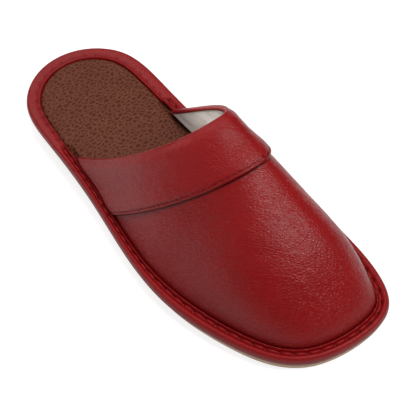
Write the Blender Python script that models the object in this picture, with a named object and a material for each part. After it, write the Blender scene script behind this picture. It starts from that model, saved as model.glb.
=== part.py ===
"""House slipper for the right foot: a closed-toe leather mule on a rubber sole.

Metres, +Z up, +Y from heel to toe, +X to the outer side of the foot.
Five pieces: outsole, insole, edge_binding, upper and cuff.
"""
import math

import bmesh
import bpy
import numpy as np

MM = 0.001
# Main sizes of the last and of the slipper round it.
LENGTH = 262 * MM
BALL_WIDTH = 100 * MM
TOE_SHIFT = -18.3 * MM
INSTEP_HEIGHT = 80 * MM
HEEL_LIFT = 11.6 * MM
TOE_SPRING = 1.8 * MM
STRIP_WIDTH = 10.8 * MM
STRIP_HEIGHT = 6.9 * MM

# Outer edge of the slipper seen from above, measured from the heel's axis.
# Columns: share of length, half width on the inner side, half width on the outer side
# (shares of the ball width).
OUTLINE = [
    (0.02, 0.193, 0.187),
    (0.09, 0.355, 0.351),
    (0.22, 0.390, 0.398),
    (0.40, 0.393, 0.427),
    (0.56, 0.468, 0.478),
    (0.70, 0.510, 0.479),
    (0.82, 0.511, 0.401),
    (0.92, 0.472, 0.279),
    (0.98, 0.380, 0.102),
]
# Width of the edge binding seen from above.
# Columns: share of length, inner side, outer side (shares of the strip's width).
BINDING_WIDTH = [
    (0.00, 0.84, 0.84),
    (0.12, 0.90, 0.76),
    (0.28, 0.84, 0.58),
    (0.45, 0.72, 0.48),
    (0.60, 0.67, 0.51),
    (0.72, 0.65, 0.64),
    (0.84, 0.66, 0.64),
    (0.94, 0.72, 0.58),
    (1.00, 0.58, 0.56),
]
# The sole along its length.
# Columns: share of length, top of its rim (share of heel lift), underside (share of toe spring).
SOLE_HEIGHT = [
    (0.00, 1.000, 0.00),
    (0.25, 0.931, 0.00),
    (0.50, 0.707, 0.00),
    (0.70, 0.534, 0.00),
    (0.82, 0.483, 0.00),
    (0.92, 0.509, 0.28),
    (1.00, 0.560, 1.00),
]
# How far the sole's side stands back under the binding.
# Columns: share of length, inner side, outer side (shares of the widest setback).
SETBACK = 2.8 * MM
SOLE_SETBACK = [
    (0.00, 0.50, 0.64),
    (0.20, 0.21, 1.00),
    (0.50, 0.21, 1.00),
    (0.72, 0.29, 0.50),
    (0.90, 0.14, 0.29),
    (1.00, 0.14, 0.14),
]
SOLE_SLOPE = 1.2 * MM
SOLE_EDGE_ROUND = 0.9 * MM
SOLE_TOP_ROUND = 0.5 * MM
PLATEAU_UP = 1.3 * MM
PLATEAU_IN = 4.7 * MM

# Layers of the edge, each as height above the sole's rim or distance in from the edge.
GAP = 0.3 * MM
BOARD_LOW = 1.6 * MM
BOARD_HIGH = 3.2 * MM
BOARD_IN = 2.9 * MM
MARGIN_LOW = 3.6 * MM
MARGIN_HIGH = 5.0 * MM
SLOT_TOP_HEEL = 3.5 * MM
SLOT_TOP_VAMP = 5.3 * MM
SLOT_END = 2.4 * MM
FOLD_END = 4.4 * MM
STRIP_CLEAR = 0.35 * MM
FOLD_LOW = 0.3 * MM
FOLD_HIGH = 1.3 * MM
FOLD_ROUND_IN = 1.6 * MM
FOLD_ROUND_UP = 0.6 * MM
CUSHION_UP = 4.8 * MM
CUSHION_ROUND = 3.2 * MM
CUSHION_CLEAR_HEEL = 0.35 * MM
CUSHION_CLEAR_VAMP = 2.9 * MM

# Outside of the binding, from its outer side over the top to its inner edge.
# Columns: share of width and of strip height at the heel, the same two at the vamp.
BINDING_TOP = [
    (0.00, 0.362, 0.00, 0.391),
    (0.05, 0.580, 0.04, 0.652),
    (0.16, 0.725, 0.12, 0.841),
    (0.36, 0.797, 0.28, 0.928),
    (0.60, 0.797, 0.46, 0.884),
    (0.75, 0.768, 0.57, 0.812),
    (0.85, 0.783, 0.68, 0.884),
    (0.95, 0.754, 0.79, 1.000),
    (1.00, 0.681, 0.94, 1.000),
    (1.00, 0.609, 1.00, 0.913),
]
# The strip's end is lapped over its start on the inner side.
LAP_SHARE = 0.60
LAP_START = 0.008
LAP_FLAT = 0.02
LAP_LENGTH = 0.10
LAP_RISE = 0.7 * MM

# Ridge of the last, from behind the collar to the toe.
# Columns: share of length, height above the floor (share of instep height),
# distance towards the inner side (share of ball width).
RIDGE = [
    (0.270, 1.018, 0.171),
    (0.578, 0.971, 0.153),
    (0.698, 0.878, 0.150),
    (0.786, 0.754, 0.148),
    (0.863, 0.620, 0.176),
    (0.924, 0.440, 0.186),
]
# Collar and cuff seam.
# Columns: share of length at the ridge, at the outer foot, at the inner foot, fullness.
COLLAR = (0.582, 0.288, 0.313, 2.25)
SEAM = (0.700, 0.465, 0.496, 2.25)
TOE_ARC = 30 * MM
# Section of the last on its outer side and on its inner side.
# Columns: crown and side exponents at the seam, the same two at the toe box.
SECTION_OUTER = (1.97, 0.91, 2.45, 1.95)
SECTION_INNER = (2.39, 0.92, 2.10, 1.80)
WALL = 2.0 * MM
WALL_FOOT = 2.2 * MM

# Thickness of the cuff from the collar to its lower edge.
# Columns: share of the way, share of the cuff's thickness.
CUFF_WALL = 1.9 * MM
CUFF_THICK = [
    (0.00, 0.68),
    (0.45, 0.79),
    (0.80, 0.95),
    (0.94, 1.00),
    (1.00, 0.53),
]
CUFF_FOLD = 3.6 * MM
CUFF_GAP = 0.5 * MM
CUFF_FOLD_THICK = 0.9 * MM
CUFF_FOOT = 7.3 * MM

SIDE_STEPS = 44
CROSS_STEPS = 6
ROWS_CUFF = 5
ROWS_VAMP = 17
COLUMNS = 14


def hermite(x, xs, ys):
    """Smooth curve through the points, each tangent from its neighbours."""
    xs = np.asarray(xs, float)
    ys = np.asarray(ys, float)
    h = np.diff(xs)
    d = np.diff(ys) / h
    m = np.empty_like(ys)
    m[0] = d[0]
    m[-1] = d[-1]
    m[1:-1] = (h[1:] * d[:-1] + h[:-1] * d[1:]) / (h[1:] + h[:-1])
    x = np.clip(x, xs[0], xs[-1])
    i = np.clip(np.searchsorted(xs, x, side="right") - 1, 0, len(xs) - 2)
    t = (x - xs[i]) / h[i]
    value = ys[i] * (1 + 2 * t) * (1 - t) ** 2 + ys[i + 1] * t * t * (3 - 2 * t)
    slope = h[i] * (m[i] * t * (1 - t) ** 2 - m[i + 1] * t * t * (1 - t))
    return value + slope


def column(table, i):
    return [row[i] for row in table]


def ease(t):
    t = np.clip(t, 0, 1)
    return t * t * (3 - 2 * t)


def closed_curve(points, n):
    """Closed cubic spline through the points."""
    p = np.asarray(points, float)
    k = len(p)
    h = np.sqrt(np.linalg.norm(np.roll(p, -1, 0) - p, axis=1))
    a = np.zeros((k, k))
    r = np.zeros_like(p)
    for i in range(k):
        j = (i - 1) % k
        l = (i + 1) % k
        a[i, j] = h[j]
        a[i, i] = 2 * (h[j] + h[i])
        a[i, l] = h[i]
        r[i] = 6 * ((p[l] - p[i]) / h[i] - (p[i] - p[j]) / h[j])
    m = np.linalg.solve(a, r)
    s = np.concatenate([[0], np.cumsum(h)])
    t = np.linspace(0, s[-1], n, endpoint=False)
    i = np.searchsorted(s, t, side="right") - 1
    l = (i + 1) % k
    w = h[i][:, None]
    u = (s[i + 1] - t)[:, None]
    v = (t - s[i])[:, None]
    bend = (m[i] * u ** 3 + m[l] * v ** 3) / (6 * w)
    return bend + (p[i] / w - m[i] * w / 6) * u + (p[l] / w - m[l] * w / 6) * v


def share(y):
    return (y + LENGTH / 2) / LENGTH


def station(s):
    return s * LENGTH - LENGTH / 2


def make_outline():
    """Outer edge from above, as points, outward normals and centre line shift."""
    points = [(0.0, station(0))]
    points += [(-m * BALL_WIDTH, station(s)) for s, m, _ in OUTLINE]
    points += [(TOE_SHIFT, station(1))]
    points += [(l * BALL_WIDTH, station(s)) for s, _, l in OUTLINE[::-1]]
    curve = closed_curve(points, 1600)
    tangent = np.roll(curve, -1, 0) - np.roll(curve, 1, 0)
    normal = np.stack([tangent[:, 1], -tangent[:, 0]], 1)
    normal /= np.linalg.norm(normal, axis=1)[:, None]
    if ((curve - curve.mean(0)) * normal).sum() < 0:
        normal = -normal
    return curve, normal


EDGE, EDGE_OUT = make_outline()
MIDDLE_X = (EDGE[:, 0].min() + EDGE[:, 0].max()) / 2


def outer_share(p):
    """0 on the inner side, 1 on the outer side, with a soft change at heel and toe."""
    axis = TOE_SHIFT * share(p[:, 1])
    return ease((p[:, 0] - axis) / (0.8 * BALL_WIDTH) + 0.5)


def by_side(table, size, p):
    """Value of a table with an inner and an outer column, whose shares are of the size."""
    s = share(p[:, 1])
    inner = hermite(s, column(table, 0), column(table, 1)) * size
    outer = hermite(s, column(table, 0), column(table, 2)) * size
    return inner + (outer - inner) * outer_share(p)


EDGE_WIDTH = by_side(BINDING_WIDTH, STRIP_WIDTH, EDGE)
FOOT = EDGE - EDGE_OUT * EDGE_WIDTH[:, None]
HEEL_AT = int(np.argmin(FOOT[:, 1]))
TOE_AT = int(np.argmax(FOOT[:, 1]))
TOE_TIP = FOOT[TOE_AT]


def side_order(side):
    """Indices of the dense outline from heel to toe, side -1 inner and +1 outer."""
    if side < 0:
        return np.arange(HEEL_AT, TOE_AT + 1)
    n = len(EDGE)
    return np.arange(HEEL_AT + n, TOE_AT - 1, -1) % n


ORDER = {-1: side_order(-1), 1: side_order(1)}
RUN = {}
for side_key, order_key in ORDER.items():
    steps = np.linalg.norm(np.diff(FOOT[order_key], axis=0), axis=1)
    RUN[side_key] = np.concatenate([[0], np.cumsum(steps)])


def along(values, side, run):
    """Values of the dense outline at a run along the foot line of one side."""
    v = values[ORDER[side]]
    return np.stack([np.interp(run, RUN[side], v[:, i]) for i in range(v.shape[1])], -1)


def run_at(side, y):
    return np.interp(y, FOOT[ORDER[side]][:, 1], RUN[side])


def foot_x(side, y):
    f = FOOT[ORDER[side]]
    return np.interp(y, f[:, 1], f[:, 0])


def rim_height(y):
    """Top of the sole's rim."""
    return hermite(share(y), column(SOLE_HEIGHT, 0), column(SOLE_HEIGHT, 1)) * HEEL_LIFT


def underside(y):
    return hermite(share(y), column(SOLE_HEIGHT, 0), column(SOLE_HEIGHT, 2)) * TOE_SPRING


def ridge_x(y):
    s = column(RIDGE, 0) + [share(TOE_TIP[1])]
    x = [-v * BALL_WIDTH for v in column(RIDGE, 2)] + [TOE_TIP[0]]
    return hermite(share(y), s, x)


def ridge_height(y):
    """Height of the last's ridge, rounded over the toe."""
    tip = TOE_TIP[1]
    ys = [tip] + [station(s) for s in column(RIDGE, 0)[::-1]]
    zs = [rim_height(tip) + MARGIN_HIGH] + [z * INSTEP_HEIGHT for z in column(RIDGE, 1)[::-1]]
    bend = [math.sqrt(max(tip - v, 0)) for v in ys]
    return hermite(np.sqrt(np.maximum(tip - y, 0)), bend, zs)


def last_height(x, y):
    """Height of the upper's outside over any point of the plan."""
    middle = ridge_x(y)
    side = np.where(x > middle, foot_x(1, y), foot_x(-1, y))
    out = np.clip(np.abs(x - middle) / np.maximum(np.abs(side - middle), 1e-6), 0, 1)
    t = np.clip((share(y) - SEAM[0]) / (RIDGE[4][0] - SEAM[0]), 0, 1)
    shape = [np.where(x < middle, a, b) for a, b in zip(SECTION_INNER, SECTION_OUTER)]
    crown = shape[0] + (shape[2] - shape[0]) * t
    steep = shape[1] + (shape[3] - shape[1]) * t
    foot = rim_height(y) + MARGIN_HIGH
    return foot + (ridge_height(y) - foot) * (1 - out ** crown) ** (1 / steep)


def plan_arch(row, u):
    """Collar or seam line from above, u from -1 at the inner foot to 1 at the outer foot."""
    middle = station(row[0])
    end = np.where(u > 0, station(row[1]), station(row[2]))
    y = middle - (middle - end) * np.abs(u) ** row[3]
    edge = np.where(u > 0, foot_x(1, y), foot_x(-1, y))
    centre = ridge_x(middle)
    return np.stack([centre + (edge - centre) * np.abs(u), y], -1)


def plan_toe(u):
    """The foot line round the toe."""
    inner = along(FOOT, -1, RUN[-1][-1] - TOE_ARC * np.abs(u))
    outer = along(FOOT, 1, RUN[1][-1] - TOE_ARC * np.abs(u))
    return np.where((u > 0)[:, None], outer, inner)


def plan_row(k, u):
    """Row k of the upper from above: 0 collar, 1 seam, 2 toe. Its ends follow the foot line."""
    u = np.asarray(u, float)
    ends = np.array([-1.0, 1.0])
    if k <= 1:
        first, second = plan_arch(COLLAR, u), plan_arch(SEAM, u)
        first_end, second_end = plan_arch(COLLAR, ends), plan_arch(SEAM, ends)
        w = k
    else:
        first, second = plan_arch(SEAM, u), plan_toe(u)
        first_end, second_end = plan_arch(SEAM, ends), plan_toe(ends)
        w = k - 1
    p = first + (second - first) * w
    runs = []
    for i, side in enumerate((-1, 1)):
        run = run_at(side, first_end[i, 1])
        if k <= 1:
            run += (run_at(side, second_end[i, 1]) - run) * w
        else:
            run += (RUN[side][-1] - TOE_ARC - run) * w
        runs.append(run)
        on_foot = along(FOOT, side, np.array([run]))[0]
        off = on_foot - (first_end[i] + (second_end[i] - first_end[i]) * w)
        p = p + off * ((u * side > 0) * np.abs(u) ** 2.5)[:, None]
    return p, runs


def last_row(k, u):
    p, runs = plan_row(k, u)
    z = last_height(p[:, 0], p[:, 1])
    return np.column_stack([p, z]), runs


def spread(n):
    """Steps from -1 to 1, closer at the ends."""
    return np.sin(np.linspace(-math.pi / 2, math.pi / 2, n + 1))


def grid_normals(grid):
    """Outward normals of a surface grid of rows and columns."""
    down = np.gradient(grid, axis=0)
    across = np.gradient(grid, axis=1)
    n = np.cross(across, down)
    n /= np.maximum(np.linalg.norm(n, axis=2), 1e-12)[..., None]
    if n[..., 2].mean() < 0:
        n = -n
    return n


def ring_order():
    """Indices of the dense outline for one ring: heel, inner side, toe, outer side."""
    sides = []
    for side in (-1, 1):
        order = ORDER[side]
        run = np.concatenate([[0], np.cumsum(np.linalg.norm(np.diff(EDGE[order], axis=0), axis=1))])
        at = np.linspace(0, run[-1], SIDE_STEPS + 1)
        sides.append(np.interp(at, run, np.arange(len(order))).round().astype(int))
    a = ORDER[-1][sides[0]]
    b = ORDER[1][sides[1]][::-1][1:-1]
    return np.concatenate([a, b])


RING = ring_order()


def ring(inset, height):
    """Ring of 3-D points: inset and height are numbers or one value for each ring point."""
    p = EDGE[RING] - EDGE_OUT[RING] * np.broadcast_to(inset, len(RING))[:, None]
    return np.column_stack([p, rim_height(p[:, 1]) + height])


def new_object(name, build, color, rough, coll):
    bm = bmesh.new()
    build(bm)
    bmesh.ops.remove_doubles(bm, verts=bm.verts, dist=1e-6)
    bmesh.ops.translate(bm, verts=bm.verts, vec=(-MIDDLE_X, 0, 0))
    bmesh.ops.recalc_face_normals(bm, faces=bm.faces)
    mesh = bpy.data.meshes.new(name)
    bm.to_mesh(mesh)
    bm.free()
    obj = bpy.data.objects.new(name, mesh)
    mat = bpy.data.materials.new(name)
    mat.use_nodes = True
    bsdf = mat.node_tree.nodes["Principled BSDF"]
    bsdf.inputs["Base Color"].default_value = (*color, 1)
    bsdf.inputs["Roughness"].default_value = rough
    mesh.materials.append(mat)
    coll.objects.link(obj)
    return obj


def add_rows(bm, rows):
    return [[bm.verts.new(p) for p in row] for row in rows]


def face(bm, verts):
    seen = []
    for v in verts:
        if v not in seen:
            seen.append(v)
    if len(seen) > 2:
        bm.faces.new(seen)


def skin_loops(bm, loops):
    """Faces between closed loops of the same count."""
    for a, b in zip(loops, loops[1:]):
        n = len(a)
        for i in range(n):
            face(bm, (a[i], a[(i + 1) % n], b[(i + 1) % n], b[i]))


def ladder(bm, loop, height_at):
    """Close a ring with rows across it, from heel to toe."""
    n = len(loop)
    half = n // 2
    rows = [[loop[0]] * (CROSS_STEPS + 1)]
    for i in range(1, half):
        a, b = loop[i], loop[n - i]
        row = [a]
        for j in range(1, CROSS_STEPS):
            p = a.co.lerp(b.co, j / CROSS_STEPS)
            p.z = height_at(p, j / CROSS_STEPS, i / half)
            row.append(bm.verts.new(p))
        row.append(b)
        rows.append(row)
    rows.append([loop[half]] * (CROSS_STEPS + 1))
    for a, b in zip(rows, rows[1:]):
        for j in range(CROSS_STEPS):
            face(bm, (a[j], a[j + 1], b[j + 1], b[j]))


def floor_ring(inset, up):
    p = EDGE[RING] - EDGE_OUT[RING] * np.broadcast_to(inset, len(RING))[:, None]
    return np.column_stack([p, underside(p[:, 1]) + up])


def build_outsole(bm):
    back = by_side(SOLE_SETBACK, SETBACK, EDGE[RING])
    low = back + SOLE_SLOPE
    middle = 0.5 * (ring(back, 0) + floor_ring(low, SOLE_EDGE_ROUND))
    loops = [
        ring(PLATEAU_IN + GAP, PLATEAU_UP),
        ring(PLATEAU_IN, 0),
        ring(back + SOLE_TOP_ROUND, 0),
        ring(back, -0.8 * SOLE_TOP_ROUND),
        middle,
        floor_ring(low, SOLE_EDGE_ROUND),
        floor_ring(low + 0.35 * SOLE_EDGE_ROUND, 0.3 * SOLE_EDGE_ROUND),
        floor_ring(low + SOLE_EDGE_ROUND, 0),
    ]
    verts = add_rows(bm, loops)
    skin_loops(bm, verts)
    ladder(bm, verts[0], lambda p, t, s: rim_height(p.y) + PLATEAU_UP)
    ladder(bm, verts[-1], lambda p, t, s: underside(p.y))


def vamp_share(p):
    """0 behind the collar's ends, 1 from just behind them to the toe."""
    s = share(p[:, 1])
    outer = outer_share(p)
    start = COLLAR[2] + (COLLAR[1] - COLLAR[2]) * outer
    return ease((s - (start - 0.050)) / 0.026)


def build_insole(bm):
    p = EDGE[RING]
    clear = CUSHION_CLEAR_HEEL + (CUSHION_CLEAR_VAMP - CUSHION_CLEAR_HEEL) * vamp_share(p)
    edge = EDGE_WIDTH[RING] + clear
    loops = [
        ring(edge + CUSHION_ROUND, CUSHION_UP),
        ring(edge + 0.31 * CUSHION_ROUND, CUSHION_UP - 0.06 * CUSHION_ROUND),
        ring(edge + 0.03 * CUSHION_ROUND, CUSHION_UP - 0.25 * CUSHION_ROUND),
        ring(edge, BOARD_HIGH),
        ring(BOARD_IN, BOARD_HIGH),
        ring(BOARD_IN, BOARD_LOW),
    ]
    verts = add_rows(bm, loops)
    skin_loops(bm, verts)
    ladder(bm, verts[0], lambda q, t, s: rim_height(q.y) + CUSHION_UP)
    ladder(bm, verts[-1], lambda q, t, s: rim_height(q.y) + BOARD_LOW)


def lap_rise(p):
    """Extra height where the binding's end lies over its start, on the inner side."""
    s = share(p[:, 1])
    on = ease((s - LAP_SHARE) / LAP_START) * (1 - ease((s - LAP_SHARE - LAP_FLAT) / LAP_LENGTH))
    return LAP_RISE * on * (outer_share(p) < 0.5)


def build_edge_binding(bm):
    p = EDGE[RING]
    width = EDGE_WIDTH[RING] - STRIP_CLEAR
    vamp = vamp_share(p)
    slot_top = SLOT_TOP_HEEL + (SLOT_TOP_VAMP - SLOT_TOP_HEEL) * vamp
    loops = []
    for heel_in, heel_up, vamp_in, vamp_up in BINDING_TOP:
        across = width * (heel_in + (vamp_in - heel_in) * vamp)
        up = (heel_up + (vamp_up - heel_up) * vamp) * STRIP_HEIGHT
        loops.append(ring(across, up + lap_rise(p) * (0.15 < vamp_in < 0.75)))
    loops += [
        ring(width, slot_top),
        ring(SLOT_END, slot_top),
        ring(SLOT_END, FOLD_HIGH),
        ring(FOLD_END, FOLD_HIGH),
        ring(FOLD_END, FOLD_LOW),
        ring(FOLD_ROUND_IN, FOLD_LOW),
        ring(0.3 * FOLD_ROUND_IN, FOLD_LOW + FOLD_ROUND_UP),
    ]
    verts = add_rows(bm, loops)
    skin_loops(bm, verts + [verts[0]])


def foot_station(side, run):
    """Outline point, its outward normal and the foot line's point at a run along one side."""
    edge, out, foot = (along(v, side, np.array([run]))[0] for v in (EDGE, EDGE_OUT, FOOT))
    return edge, out / np.linalg.norm(out), foot


def upper_rows():
    first = [i / ROWS_CUFF for i in range(ROWS_CUFF)]
    second = [1 + math.sin(0.5 * math.pi * i / ROWS_VAMP) for i in range(ROWS_VAMP + 1)]
    return first + second


def build_upper(bm):
    u = spread(2 * COLUMNS)
    last = len(u) - 1
    grid = []
    inner_side = []
    outer_side = []
    for k in upper_rows():
        row, runs = last_row(k, u)
        inner_side.append(((len(grid), 0), -1, runs[0]))
        outer_side.append(((len(grid), last), 1, runs[1]))
        grid.append(row)
    toe = []
    for j in range(1, last):
        side = -1 if u[j] < 0 else 1
        toe.append(((len(grid) - 1, j), side, RUN[side][-1] - TOE_ARC * abs(u[j])))
    border = inner_side + toe + outer_side[::-1]
    grid = np.array(grid)
    inner = grid - grid_normals(grid) * WALL
    for (i, j), side, run in border:
        edge, out, foot = foot_station(side, run)
        p = foot - out * WALL_FOOT
        inner[i, j] = (*p, rim_height(p[1]) + MARGIN_HIGH)
    outside = add_rows(bm, grid)
    inside = add_rows(bm, inner)
    for rows in (outside, inside):
        for a, b in zip(rows, rows[1:]):
            for j in range(last):
                face(bm, (a[j], a[j + 1], b[j + 1], b[j]))
    strips = [[], [], [], [], []]
    for (i, j), side, run in border:
        edge, out, foot = foot_station(side, run)
        tip = edge - out * BOARD_IN
        back = inner[i, j, :2]
        strips[0].append(outside[i][j])
        strips[1].append(bm.verts.new((*tip, rim_height(tip[1]) + MARGIN_HIGH)))
        strips[2].append(bm.verts.new((*tip, rim_height(tip[1]) + MARGIN_LOW)))
        strips[3].append(bm.verts.new((*back, rim_height(back[1]) + MARGIN_LOW)))
        strips[4].append(inside[i][j])
    for a, b in zip(strips, strips[1:]):
        for i in range(len(a) - 1):
            face(bm, (a[i], a[i + 1], b[i + 1], b[i]))
    for i in range(last):
        face(bm, (outside[0][i], outside[0][i + 1], inside[0][i + 1], inside[0][i]))
    for end in (0, -1):
        face(bm, [s[end] for s in strips])


def cuff_columns(k, n):
    """Columns of one cuff row whose ends stay above the binding."""
    fine = np.linspace(-1, 1, 401)
    row, _ = last_row(k, fine)
    up = row[:, 2] - rim_height(row[:, 1])
    half = len(fine) // 2
    low = np.interp(CUFF_FOOT, up[:half], fine[:half])
    high = np.interp(-CUFF_FOOT, -up[half:], fine[half:])
    t = 0.5 * (spread(n) + np.linspace(-1, 1, n + 1))
    return (low + high) / 2 + (high - low) / 2 * t


def build_cuff(bm):
    n = 2 * COLUMNS
    shares = [0, 0.12, 0.3, 0.5, 0.68, 0.82, 0.92, 0.97, 1.0]
    grid = np.array([last_row(k, cuff_columns(k, n))[0] for k in shares])
    ahead = np.array([last_row(k + 0.02, cuff_columns(k, n))[0] for k in shares])
    across = np.gradient(grid, axis=1)
    normal = np.cross(across, ahead - grid)
    normal /= np.linalg.norm(normal, axis=2)[..., None]
    if normal[..., 2].mean() < 0:
        normal = -normal
    up = grid[0] - grid[1]
    up /= np.linalg.norm(up, axis=1)[:, None]
    side = normal[0]
    thick = np.interp(shares, column(CUFF_THICK, 0), column(CUFF_THICK, 1)) * CUFF_WALL
    outer = [grid[i] + normal[i] * (CUFF_GAP + thick[i]) for i in range(len(shares))]
    back = [grid[i] + normal[i] * CUFF_GAP for i in range(len(shares))]
    top = grid[0]
    rise = CUFF_GAP + CUFF_FOLD_THICK
    inside = -(WALL + CUFF_GAP)
    fold = inside - CUFF_FOLD_THICK
    loops = outer[::-1] + [
        top + side * (CUFF_GAP + 0.75 * thick[0]) + up * 0.75 * rise,
        top + side * (-0.5 * WALL) + up * 1.07 * rise,
        top + side * (fold + 0.2 * CUFF_FOLD_THICK) + up * 0.5 * rise,
        top + side * fold - up * 0.3 * CUFF_FOLD,
        top + side * (fold + 0.1 * CUFF_FOLD_THICK) - up * CUFF_FOLD,
        top + side * inside - up * CUFF_FOLD,
        top + side * inside + up * CUFF_GAP,
        top + side * CUFF_GAP + up * CUFF_GAP,
    ] + back
    verts = add_rows(bm, loops)
    for a, b in zip(verts, verts[1:] + [verts[0]]):
        for i in range(n):
            face(bm, (a[i], a[i + 1], b[i + 1], b[i]))
    for i in (0, n):
        face(bm, [row[i] for row in verts])


def clear_scene():
    for obj in list(bpy.data.objects):
        bpy.data.objects.remove(obj, do_unlink=True)


def main():
    clear_scene()
    coll = bpy.data.collections.new("house_slipper")
    bpy.context.scene.collection.children.link(coll)
    new_object("outsole", build_outsole, (0.30, 0.21, 0.13), 0.7, coll)
    new_object("insole", build_insole, (0.16, 0.06, 0.04), 0.6, coll)
    new_object("edge_binding", build_edge_binding, (0.27, 0.012, 0.016), 0.45, coll)
    new_object("upper", build_upper, (0.27, 0.012, 0.016), 0.4, coll)
    new_object("cuff", build_cuff, (0.27, 0.012, 0.016), 0.4, coll)


main()
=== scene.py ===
"""Right house slipper in red leather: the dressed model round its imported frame.

Metres, +Z up, +Y from heel to toe, +X to the outer side of the foot.
"""
import math

import bmesh
import bpy
import numpy as np
from mathutils import Matrix, Quaternion, Vector, noise


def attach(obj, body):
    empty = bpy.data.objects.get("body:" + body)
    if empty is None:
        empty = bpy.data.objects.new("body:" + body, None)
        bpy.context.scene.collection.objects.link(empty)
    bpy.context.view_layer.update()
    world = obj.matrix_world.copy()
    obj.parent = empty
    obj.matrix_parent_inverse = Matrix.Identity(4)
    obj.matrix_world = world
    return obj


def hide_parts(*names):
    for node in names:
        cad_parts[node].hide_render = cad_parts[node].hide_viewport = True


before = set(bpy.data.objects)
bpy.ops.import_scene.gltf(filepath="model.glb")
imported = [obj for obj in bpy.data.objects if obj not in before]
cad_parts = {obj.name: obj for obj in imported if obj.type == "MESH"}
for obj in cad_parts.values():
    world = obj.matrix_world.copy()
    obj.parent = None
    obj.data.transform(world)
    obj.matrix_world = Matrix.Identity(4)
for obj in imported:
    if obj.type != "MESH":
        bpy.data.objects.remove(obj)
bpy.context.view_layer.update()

MM = 0.001

# Sizes of the last and of the edge, the same as in the part's source.
LENGTH = 262 * MM
BALL_WIDTH = 100 * MM
TOE_SHIFT = -18.3 * MM
INSTEP_HEIGHT = 80 * MM
HEEL_LIFT = 11.6 * MM
TOE_SPRING = 1.8 * MM
STRIP_WIDTH = 10.8 * MM

# Share of length, half width on the inner side and on the outer side (shares of the ball width).
OUTLINE = [
    (0.02, 0.193, 0.187),
    (0.09, 0.355, 0.351),
    (0.22, 0.390, 0.398),
    (0.40, 0.393, 0.427),
    (0.56, 0.468, 0.478),
    (0.70, 0.510, 0.479),
    (0.82, 0.511, 0.401),
    (0.92, 0.472, 0.279),
    (0.98, 0.380, 0.102),
]
# Share of length, width of the binding on the inner side and on the outer side.
BINDING_WIDTH = [
    (0.00, 0.84, 0.84),
    (0.12, 0.90, 0.76),
    (0.28, 0.84, 0.58),
    (0.45, 0.72, 0.48),
    (0.60, 0.67, 0.51),
    (0.72, 0.65, 0.64),
    (0.84, 0.66, 0.64),
    (0.94, 0.72, 0.58),
    (1.00, 0.58, 0.56),
]
# Share of length, top of the sole's rim (share of heel lift), underside (share of toe spring).
SOLE_HEIGHT = [
    (0.00, 1.000, 0.00),
    (0.25, 0.931, 0.00),
    (0.50, 0.707, 0.00),
    (0.70, 0.534, 0.00),
    (0.82, 0.483, 0.00),
    (0.92, 0.509, 0.28),
    (1.00, 0.560, 1.00),
]
# Share of length, setback of the sole's side on the inner side and on the outer side.
SETBACK = 2.8 * MM
SOLE_SETBACK = [
    (0.00, 0.50, 0.64),
    (0.20, 0.21, 1.00),
    (0.50, 0.21, 1.00),
    (0.72, 0.29, 0.50),
    (0.90, 0.14, 0.29),
    (1.00, 0.14, 0.14),
]
# Share of length, height of the ridge (share of instep height), shift to the inner side.
RIDGE = [
    (0.270, 1.018, 0.171),
    (0.578, 0.971, 0.153),
    (0.698, 0.878, 0.150),
    (0.786, 0.754, 0.148),
    (0.863, 0.620, 0.176),
    (0.924, 0.440, 0.186),
]
# Share of length at the ridge, at the outer foot, at the inner foot, fullness.
COLLAR = (0.582, 0.288, 0.313, 2.25)
SEAM = (0.700, 0.465, 0.496, 2.25)
TOE_ARC = 30 * MM
SECTION_OUTER = (1.97, 0.91, 2.45, 1.95)
SECTION_INNER = (2.39, 0.92, 2.10, 1.80)
WALL = 1.7 * MM
MARGIN_UP = 5.0 * MM

# Section of the edge binding as a closed loop.
# Distance in from the edge (share of the strip's width) and height over the sole's rim (mm),
# at the heel and at the vamp.
STRIP = [
    (0.49, 0.3, 0.65, 0.3),
    (0.33, 0.3, 0.45, 0.3),
    (0.19, 0.3, 0.24, 0.3),
    (0.06, 0.6, 0.08, 0.6),
    (0.01, 1.4, 0.01, 1.5),
    (0.00, 2.5, 0.00, 2.9),
    (0.02, 3.7, 0.03, 4.2),
    (0.06, 4.6, 0.09, 5.3),
    (0.14, 5.2, 0.19, 6.05),
    (0.30, 5.45, 0.30, 6.3),
    (0.50, 5.45, 0.42, 6.1),
    (0.68, 5.3, 0.53, 5.5),
    (0.80, 5.0, 0.66, 4.85),
    (0.87, 5.2, 0.77, 5.0),
    (0.91, 5.3, 0.82, 5.9),
    (0.94, 5.3, 0.86, 6.6),
    (0.97, 5.1, 0.905, 6.8),
    (1.00, 4.7, 0.945, 6.6),
    (1.00, 4.0, 0.97, 6.1),
    (0.99, 3.5, 0.97, 4.3),
    (0.70, 3.5, 0.72, 4.2),
    (0.28, 3.5, 0.38, 4.2),
    (0.28, 2.4, 0.38, 3.3),
    (0.28, 1.3, 0.38, 1.3),
    (0.49, 1.2, 0.65, 1.2),
]
STITCH_ROW = 12
STITCH_IN = (0.80, 0.68)
RIM_PITCH = 7.0 * MM
CUFF_PITCH = 3.3 * MM
CUFF_STITCH_UP = 2.1 * MM

SOLE_STEPS = 160
STRIP_STEPS = 520
SIDE_COLUMNS = 84
SEAM_ROWS = 14
VAMP_ROWS = 130


# ---- The last ----

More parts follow.
